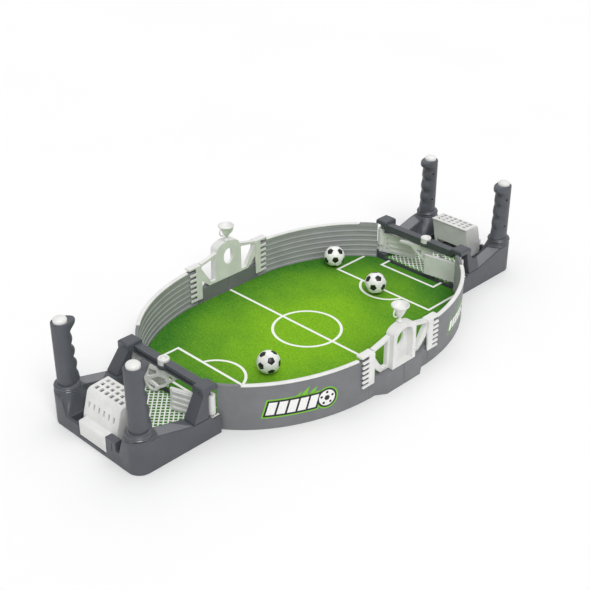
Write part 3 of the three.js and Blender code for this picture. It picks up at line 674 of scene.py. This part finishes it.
def rim(corner, sign_x, sign_y):
    """The white strip on the wall's top edge, with rounded shoulders."""
    outer, inner = -RIM_OVERHANG, WALL_THICKNESS + RIM_OVERHANG
    bottom = WALL_TOP - RIM_HEIGHT
    section = [
        (outer, bottom), (outer, WALL_TOP - 0.6), (outer + 0.2, WALL_TOP - 0.2), (outer + 0.6, WALL_TOP),
        (inner - 0.6, WALL_TOP), (inner - 0.2, WALL_TOP - 0.2), (inner, WALL_TOP - 0.6), (inner, bottom),
    ]
    start, end = wall_angle(RIM_START_X), wall_angle(RIM_END_X)
    steps = 56
    rings = []
    for i in range(steps + 1):
        angle = start + (end - start) * i / steps
        rings.append([(*wall_point(angle, inset), z) for inset, z in section])
    vertices, faces = loft(rings)
    vertices = flipped(vertices, sign_x, sign_y)
    solid(f"{corner}_rim", vertices, faces, "trim", "table", [f"{corner}_rim_strip"], 50)


def raised(polygons, z0, z1):
    """Flat convex polygons as thin closed plates."""
    parts = []
    for points in polygons:
        parts.append(loft([[(x, y, z0) for x, y in points], [(x, y, z1) for x, y in points]]))
    return joined(*parts)


def bar(x0, y0, x1, y1):
    """A straight painted line, as one quad."""
    return [(x0, y0), (x1, y0), (x1, y1), (x0, y1)]


def arc_band(centre_x, radius, start, end, steps):
    """A painted ring or part of one, as quads."""
    inner, outer = radius - LINE_WIDTH / 2, radius + LINE_WIDTH / 2
    quads = []
    for i in range(steps):
        a, b = (start + (end - start) * (i + k) / steps for k in (0, 1))
        places = ((inner, a), (outer, a), (outer, b), (inner, b))
        quads.append([(centre_x + r * math.cos(angle), r * math.sin(angle)) for r, angle in places])
    return quads


TOUCH_INSET = 6.6  # the halfway line stops this far inside the wall
AREAS = (  # (x of the front line, half width, x where the side lines stop)
    (BOX_X, BOX_HALF_WIDTH, 179),
    (GOAL_BOX_X, GOAL_BOX_HALF_WIDTH, 187),
)


def turf_lines():
    """The pitch markings: halfway line, centre circle, and a penalty area and goal area at each end."""
    half = LINE_WIDTH / 2
    touch = WALL_SEMI_Y - TOUCH_INSET
    gap = math.asin(half / CENTRE_CIRCLE)
    shapes = [bar(-half, -touch, half, touch)]
    for start in (-math.pi / 2, math.pi / 2):
        shapes += arc_band(0, CENTRE_CIRCLE, start + gap, start + math.pi - gap, 40)
    for sign in (1, -1):
        for x, width, goal in AREAS:
            near, far = sorted((sign * (x - half), sign * (x + half)))
            shapes.append(bar(near, -width - half, far, width + half))
            reach = min(goal, wall_reach(width + half) - 1)
            near, far = sorted((sign * (x + half), sign * reach))
            for side in (1, -1):
                low, high = sorted((side * (width - half), side * (width + half)))
                shapes.append(bar(near, low, far, high))
        spread = math.acos((ARC_BACK + half) / ARC_RADIUS)
        middle = math.pi if sign > 0 else 0
        shapes += arc_band(sign * (BOX_X + ARC_BACK), ARC_RADIUS, middle - spread, middle + spread, 32)
    vertices, faces = raised(shapes, TURF_TOP - 0.02, TURF_TOP + 0.1)
    solid("turf_lines", vertices, faces, "line", "table", (), 60)


def wall_reach(y):
    """X of the wall's inner face at a given Y."""
    inner_y = WALL_SEMI_Y - WALL_THICKNESS
    return WALL_STRAIGHT + (WALL_SEMI_X - WALL_THICKNESS) * math.sqrt(1 - (y / inner_y) ** 2)


def net_print(end):
    """The white netting over the green goal floor: a raised diamond lattice."""
    work = bmesh.new()
    half_cell = NET_CELL / 2
    columns = int((NET_X[1] - NET_X[0]) / half_cell)
    rows = int(2 * NET_HALF_WIDTH / half_cell)
    corners = {}
    for i in range(columns + 1):
        for j in range(rows + 1):
            if (i + j) % 2 == 0:
                x = NET_X[0] + i * half_cell
                y = -NET_HALF_WIDTH + j * half_cell
                corners[i, j] = work.verts.new((ENDS[end] * x * MM, y * MM, (NET_TOP + 0.02) * MM))
    for i in range(columns + 1):
        for j in range(rows + 1):
            ring = [corners.get(key) for key in ((i - 1, j), (i, j - 1), (i + 1, j), (i, j + 1))]
            if all(ring):
                work.faces.new(ring)
    bmesh.ops.recalc_face_normals(work, faces=work.faces)
    cells = bmesh.ops.inset_individual(
        work, faces=list(work.faces), thickness=NET_STRAND / 2 * MM, use_even_offset=True
    )
    strips = set(cells["faces"])
    holes = [face for face in work.faces if face not in strips]
    bmesh.ops.delete(work, geom=holes, context="FACES_ONLY")
    bmesh.ops.solidify(work, geom=list(work.faces), thickness=NET_THICKNESS * MM)
    bmesh.ops.recalc_face_normals(work, faces=work.faces)
    settle(linked_work(f"{end}_net_print", work), "line", "table", (), 60)


# ---- Banner on the wall's outer face: generic slanted bars and a ringed disc -----------------------

BANNER_Z = 23.5  # the height of its middle
BEND_STEP = 2.0  # the printed plates are cut this often, to bend round the wall
FIRST_BAR = -34
BAR_COUNT = 5
BAR_PITCH = 10.6
BAR_WIDTH = 8.4
BAR_HALF_HEIGHT = 7
DISC_U = 27.5  # where the disc's middle is along the banner
RAYS = ((-8, 15), (0, 19), (8, 17), (15, 13))  # (place, height) of each ray over the bars


def wall_track(sign_x, sign_y, middle_x):
    """A function from (distance along the wall, height, lift) to a place on the outer face."""
    steps = 400
    start, end = wall_angle(WALL_START_X), wall_angle(WALL_END_X)
    angles = [start + (end - start) * i / steps for i in range(steps + 1)]
    lengths = [0.0]
    for a, b in zip(angles, angles[1:]):
        lengths.append(lengths[-1] + math.dist(wall_point(a, 0), wall_point(b, 0)))
    middle = next(s for s, a in zip(lengths, angles) if wall_point(a, 0)[0] >= middle_x)

    def place(u, v, lift):
        s = middle + u
        row = max(i for i, length in enumerate(lengths[:-1]) if length <= s)
        share = (s - lengths[row]) / (lengths[row + 1] - lengths[row])
        angle = angles[row] + share * (angles[row + 1] - angles[row])
        x, y = wall_point(angle, -lift)
        return sign_x * x, sign_y * y, v

    return place


def banner_layer(name, outlines, place, lift, look):
    """Printed shapes bent round the wall, as thin closed plates that stand lift proud of it."""
    work = bmesh.new()
    for outline in outlines:
        work.faces.new([work.verts.new((u, v, 0)) for u, v in outline])
    bmesh.ops.recalc_face_normals(work, faces=work.faces)
    for cut in range(-30, 31):
        geometry = list(work.verts) + list(work.edges) + list(work.faces)
        bmesh.ops.bisect_plane(work, geom=geometry, plane_co=(cut * BEND_STEP, 0, 0), plane_no=(1, 0, 0))
    raised_faces = bmesh.ops.extrude_face_region(work, geom=list(work.faces))["geom"]
    top = {v for v in raised_faces if isinstance(v, bmesh.types.BMVert)}
    for vertex in work.verts:
        u, v, _ = vertex.co
        vertex.co = Vector(place(u, v, lift if vertex in top else 0.01)) * MM
    bmesh.ops.recalc_face_normals(work, faces=work.faces)
    settle(linked_work(name, work), look, "table", (), 45)


def slanted(u0, u1, v0, v1, slant=0.28):
    """A leaning four-sided bar."""
    return [(u0 + slant * v0, v0), (u1 + slant * v0, v0), (u1 + slant * v1, v1), (u0 + slant * v1, v1)]


def disc(u, v, radius, count=28):
    return [(u + radius * math.cos(a), v + radius * math.sin(a)) for a in round_angles(count)]


def banner(name, sign_x, sign_y, middle_x, size, direction):
    """Five slanted bars and a ringed disc, black on a green burst. direction is the reading direction."""
    place = wall_track(sign_x, sign_y, middle_x)

    def laid(outlines):
        return [[(direction * size * u, BANNER_Z + size * v) for u, v in outline] for outline in outlines]

    rays = []
    for k, (u, height) in enumerate(RAYS):
        rays.append([(u - 5, 6), (u + 4, 6), (u + 9, height), (u + 3, height - 4 - k % 2)])
    starts = [FIRST_BAR + BAR_PITCH * k for k in range(BAR_COUNT)]
    low, high = -BAR_HALF_HEIGHT, BAR_HALF_HEIGHT
    green = [slanted(-37.5, 20.5, low - 3.6, high + 3.4), disc(DISC_U, 0, 12.4)] + rays
    black = [slanted(-36, 19, low - 2.2, high + 2.0), disc(DISC_U, 0, 10.9)]
    white = [slanted(start, start + BAR_WIDTH, low, high) for start in starts] + [disc(DISC_U, 0, 8.9)]
    dots = [disc(DISC_U, 0, 3.1, 6)]
    for k in range(5):
        angle = 2 * math.pi * k / 5 + math.pi / 2
        dots.append(disc(DISC_U + 6.4 * math.cos(angle), 6.4 * math.sin(angle), 1.5, 6))
    banner_layer(name + "_green", laid(green), place, 0.08, "banner_green")
    banner_layer(name + "_black", laid(black), place, 0.16, "banner_black")
    banner_layer(name + "_white", laid(white), place, 0.24, "banner_white")
    banner_layer(name + "_dots", laid(dots), place, 0.32, "banner_black")


# ---- Hood: the perforated ball catcher between the grips -------------------------------------------

# Corners of its side view, as (x, z, rounding).
HOOD_OUTSIDE = (
    (258, 7.9, 0.6), (281.5, 7.9, 0.6), (280.6, 22, 3), (273, 48.9, 6), (247, 50.5, 0.9), (250, 46.5, 0.9),
)
HOOD_INSIDE = (
    (258, 4, 0.4), (279.4, 4, 0.4), (278.5, 22, 2), (271.2, 46.9, 4), (252.5, 48.4, 0.5), (260, 8, 0.4),
)
HOOD_LEDGE = ((279.6, 5.4, 0.3), (289.9, 5.4, 0.6), (289.9, 22, 1.6), (279.6, 22.6, 0.5))
HOOD_HALF_WIDTH = 26
HOOD_SKIN = 2
LEDGE_HALF_WIDTH = 20.8
HOLE_COLUMNS = 6
HOLE_PITCH = 7.6
ROOF_HOLES = ((253.4, 3.6), (259.7, 3.8), (266.4, 4.8))  # (x, length) of each row


def filleted(corners, steps=5):
    """An outline through (x, z, radius) corners, with each corner rounded to its radius."""
    outline = []
    for i, (x, z, radius) in enumerate(corners):
        point = Vector((x, z))
        before = (Vector(corners[i - 1][:2]) - point).normalized()
        after = (Vector(corners[(i + 1) % len(corners)][:2]) - point).normalized()
        half_angle = before.angle(after) / 2
        centre = point + (before + after).normalized() * radius / math.sin(half_angle)
        start = point + before * radius / math.tan(half_angle) - centre
        end = point + after * radius / math.tan(half_angle) - centre
        for k in range(steps + 1):
            outline.append(centre + start.lerp(end, k / steps).normalized() * radius)
    return outline


def inset(corners, depth):
    """Counter-clockwise (x, z, radius) corners moved inwards, each keeping its corner a fillet."""
    moved = []
    for i, (x, z, radius) in enumerate(corners):
        point = Vector((x, z))
        before = (point - Vector(corners[i - 1][:2])).normalized()
        after = (Vector(corners[(i + 1) % len(corners)][:2]) - point).normalized()
        normal = Vector((-after.y, after.x))
        inward = (Vector((-before.y, before.x)) + normal).normalized()
        point += inward * (depth / inward.dot(normal))
        moved.append((point.x, point.y, max(radius - depth, 0.1)))
    return moved


def crowned(corners, half_width, edge, steps=5):
    """Rounded (x, z, radius) corners carried across Y, with both of the ends' rims rounded over."""
    angles = [math.pi / 2 * k / steps for k in range(steps + 1)]
    rings = []
    for side, turns in ((-1, angles), (1, angles[::-1])):
        for angle in turns:
            y = side * (half_width - edge * (1 - math.cos(angle)))
            outline = filleted(inset(corners, edge * (1 - math.sin(angle))))
            rings.append([(p.x, y, p.y) for p in outline])
    return loft(rings)


def hood_holes():
    """Tools for the rows of holes in the roof and the row of slots in the face."""
    holes = []
    for column in range(HOLE_COLUMNS):
        y = (column - (HOLE_COLUMNS - 1) / 2) * HOLE_PITCH
        for x, length in ROOF_HOLES:
            holes.append(box((x - length / 2, x + length / 2), (y - 2.1, y + 2.1), (43.5, 54)))
        holes.append(box((270, 284), (y - 1.2, y + 1.2), (31, 37.5)))
    return holes


def hood(end):
    """A rounded shell with rows of holes in its roof, slots in its face, a mouth and a front ledge."""
    sign = ENDS[end]
    vertices, faces = crowned(HOOD_OUTSIDE, HOOD_HALF_WIDTH, 1.2)
    vertices = flipped(vertices, sign, 1)
    obj = solid(f"{end}_hood", vertices, faces, "trim", "table", [f"{end}_catcher_hood"], 30)
    mouth = box((240, 270), (-22, 22), (6, 21))
    ledge_hollow = box((278.6, 288), (HOOD_SKIN - LEDGE_HALF_WIDTH, LEDGE_HALF_WIDTH - HOOD_SKIN), (3, 20))
    carve(obj, tool_from([crowned(HOOD_INSIDE, HOOD_HALF_WIDTH - HOOD_SKIN, 0.6)], sign))
    carve(obj, tool_from([mouth], sign))
    carve(obj, tool_from(hood_holes(), sign))
    carve(obj, tool_from([crowned(HOOD_LEDGE, LEDGE_HALF_WIDTH, 1.0)], sign), "UNION")
    carve(obj, tool_from([ledge_hollow], sign))
    shade(obj.data, 32)


# ---- Flank pads, trophies and balls ----------------------------------------------------------------

FLANK_LOW, FLANK_HIGH = 24, 34.5  # the flank's top, at the ends of its slope
SLOPE_START, SLOPE_END = 221, 262
PAD_PLAN = ((222.5, 66.3), (237.5, 52.2), (257, 52.2), (262.5, 66.3))
PAD_MIDDLE = Vector((245, 60))
PAD_LEVELS = ((-0.1, 0), (0.22, 0), (0.4, 0.35))  # (height over the flank, inset)

# A cup's profile as (radius, height over its base), up the outside and then down the bowl.
CUP_PROFILE = (
    (3.4, 0), (3.4, 0.6), (3.1, 1.1), (2.1, 1.7), (1.6, 2.6), (1.5, 3.8), (2.0, 5), (3.4, 6.8), (4.6, 9),
    (5.6, 11.8), (6.6, 14.6), (8.4, 16.6), (9.3, 17.6), (9.5, 18.4), (9.2, 19.0), (8.8, 19.2),
    (8.3, 19.0), (7.9, 18.2), (6.9, 16.8), (5.6, 15.4), (3.6, 14.6), (0.6, 14.3),
)
CUP_HANDLE_RADIUS = 5.2
CUP_HANDLE_HEIGHT = 12.2
CUP_HANDLE_OUT = 4.8
CUP_HANDLE_TURN = 0.86 * math.pi
SEAM_GROOVE = 0.3  # how deep a ball's seams are


def flank_height(x):
    share = (min(x, SLOPE_END) - SLOPE_START) / (SLOPE_END - SLOPE_START)
    return FLANK_LOW + (FLANK_HIGH - FLANK_LOW) * share


def flank_pad(end, side):
    """The pale inlaid panel on the sloping top of a console's flank."""
    rings = []
    for lift, inward in PAD_LEVELS:
        ring = []
        for corner in PAD_PLAN:
            x, y = Vector(corner) + (PAD_MIDDLE - Vector(corner)).normalized() * inward
            ring.append((x, y, flank_height(x) + lift))
        rings.append(ring)
    vertices, faces = loft(rings)
    vertices = flipped(vertices, ENDS[end], SIDES[side])
    solid(f"{end}_{side}_flank_pad", vertices, faces, "pad", "table", (), 30)


def trophy(side):
    """A small two-handled cup with an open bowl."""
    y = CUP_Y * SIDES[side]
    parts = [turned([(radius, HUMP_TOP + z) for radius, z in CUP_PROFILE], (0, y))]
    for sign in (1, -1):
        points = []
        for i in range(17):
            angle = -math.pi / 2 + CUP_HANDLE_TURN * i / 16
            out = CUP_HANDLE_OUT + CUP_HANDLE_RADIUS * math.cos(angle)
            up = CUP_HANDLE_HEIGHT + CUP_HANDLE_RADIUS * math.sin(angle)
            points.append((sign * out, y, HUMP_TOP + up))
        parts.append(swept(points, 0.8, 12))
    vertices, faces = joined(*parts)
    solid(f"{side}_cup", vertices, faces, "trim", "table", [f"{side}_trophy_cup"], 45)


def football(name, turn):
    """A ball of twelve dark and twenty white panels with grooved seams."""
    low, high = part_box(f"ball_{name}")
    centre = (low + high) / 2
    work = bmesh.new()
    bmesh.ops.create_icosphere(work, subdivisions=1, radius=1)
    bmesh.ops.bevel(work, geom=list(work.verts), offset=100 / 3, offset_type="PERCENT", segments=1,
                    profile=0.5, affect="VERTICES")
    bmesh.ops.remove_doubles(work, verts=work.verts, dist=0.02)
    seam = work.verts.layers.float.new("seam")
    for vertex in work.verts:
        vertex[seam] = 1
    for face in work.faces:
        face.material_index = 1 if len(face.verts) == 5 else 0
    panels = list(work.faces)
    bmesh.ops.inset_individual(work, faces=panels, thickness=0.035)
    for face in panels:
        for vertex in face.verts:
            vertex[seam] = 0
    bmesh.ops.poke(work, faces=panels)
    for _ in range(3):
        bmesh.ops.subdivide_edges(work, edges=list(work.edges), cuts=1, use_grid_fill=True)
    for vertex in work.verts:
        vertex.co = vertex.co.normalized() * (BALL_RADIUS - SEAM_GROOVE * vertex[seam]) * MM
    bmesh.ops.recalc_face_normals(work, faces=work.faces)
    work.transform(Matrix.Translation(centre) @ Euler(turn).to_matrix().to_4x4())
    obj = linked_work(f"football_{name}", work)
    for look in ("ball", "ball_black"):
        obj.data.materials.append(LOOKS[look][0])
    settle(obj, "ball", f"ball_{name}_body", [f"ball_{name}"], 60)


# ---- Assembly --------------------------------------------------------------------------------------


def build_end(end):
    refined(f"{end}_console", "console", 0.7)
    refined(f"{end}_goal_frame", "console", 0.7)
    hood(end)
    refined(f"{end}_net_floor", "turf", 0.15)
    refined(f"{end}_keeper", "trim", 0.6)
    refined(f"{end}_keeper_cap", "trim", 0.3)
    net_print(end)
    for side in SIDES:
        grip(end, side)
        button(end, side)
        spring(end, side)
        collar(end, side)
        flank_pad(end, side)
        refined(f"{end}_{side}_drive_link", "trim", 0.2)
        refined(f"{end}_{side}_flipper", "trim", 0.35)
        refined(f"{end}_{side}_hinge_pin", "steel", 0.2)


def build_pitch():
    for end, sign_x in ENDS.items():
        refined(f"{end}_base_half", "wall", 0.5)
        for side, sign_y in SIDES.items():
            wall(f"{end}_{side}", sign_x, sign_y)
            rim(f"{end}_{side}", sign_x, sign_y)
    for side in SIDES:
        refined(f"{side}_side_frame", "trim", 0.45)
        trophy(side)
    refined("turf_sheet", "turf", 0.1)
    turf_lines()
    banner("left_front_banner", -1, -1, 124, 1.0, -1)
    banner("right_front_banner", 1, -1, 117, 0.8, 1)


SKY_LOW, SKY_HIGH = 0.34, 0.72  # the sky's strength at the horizon and overhead
SUNS = (  # name, where it stands, strength, width in degrees
    ("key", (-0.45, -0.75, 1.1), 1.55, 32),
    ("fill", (0.7, 0.4, 1.1), 0.4, 60),
)
FLOOR_REACH = 40  # metres
LENS = 68.38
SENSOR_WIDTH = 36
VIEW_PLACE = (-0.76213, -0.73441, 0.64651)
VIEW_TILT, VIEW_TURN = 60.591, -45.344  # degrees


def sky():
    """An even white sky, weaker towards the horizon."""
    world = bpy.data.worlds.new("studio")
    bpy.context.scene.world = world
    world.use_nodes = True
    tree = world.node_tree
    background = tree.nodes["Background"]
    place = tree.nodes.new("ShaderNodeTexCoord")
    axes = tree.nodes.new("ShaderNodeSeparateXYZ")
    height = tree.nodes.new("ShaderNodeMapRange")
    height.inputs["To Min"].default_value = SKY_LOW
    height.inputs["To Max"].default_value = SKY_HIGH
    tree.links.new(place.outputs["Generated"], axes.inputs[0])
    tree.links.new(axes.outputs["Z"], height.inputs["Value"])
    tree.links.new(height.outputs["Result"], background.inputs["Strength"])
    background.inputs["Color"].default_value = (1, 1, 1, 1)


def suns():
    """A wide soft key from the front left and a weak fill."""
    for name, source, strength, width in SUNS:
        light = bpy.data.lights.new(name, "SUN")
        light.energy = strength
        light.angle = math.radians(width)
        lamp = linked(name, light)
        lamp.location = source
        lamp.rotation_euler = (-Vector(source)).to_track_quat("-Z", "Y").to_euler()


def floor():
    """A plain pale floor, which is staged and so is no part of the model."""
    mesh = bpy.data.meshes.new("floor")
    corners = [(-1, -1), (1, -1), (1, 1), (-1, 1)]
    mesh.from_pydata([(FLOOR_REACH * x, FLOOR_REACH * y, 0) for x, y in corners], [], [(0, 1, 2, 3)])
    paper = Nodes("floor_paper")
    tone = paper.mixed(paper.noise(3, 2), linear(245, 245, 245), linear(249, 249, 249))
    paper.finish("Base Color", tone)
    paper.finish("Roughness", 0.9)
    mesh.materials.append(paper.material)
    linked("floor", mesh)


def camera():
    lens = bpy.data.cameras.new("camera")
    lens.lens = LENS
    lens.sensor_width = SENSOR_WIDTH
    view = linked("camera", lens)
    view.location = VIEW_PLACE
    view.rotation_euler = (math.radians(VIEW_TILT), 0, math.radians(VIEW_TURN))
    bpy.context.scene.camera = view
    bpy.context.scene.view_settings.view_transform = "Standard"


camera()
sky()
suns()
floor()
for end_name in ENDS:
    build_end(end_name)
build_pitch()
football("one", (0.3, 0.5, 0.2))
football("two", (1.1, 0.2, 0.9))
football("three", (0.6, 1.3, 0.4))
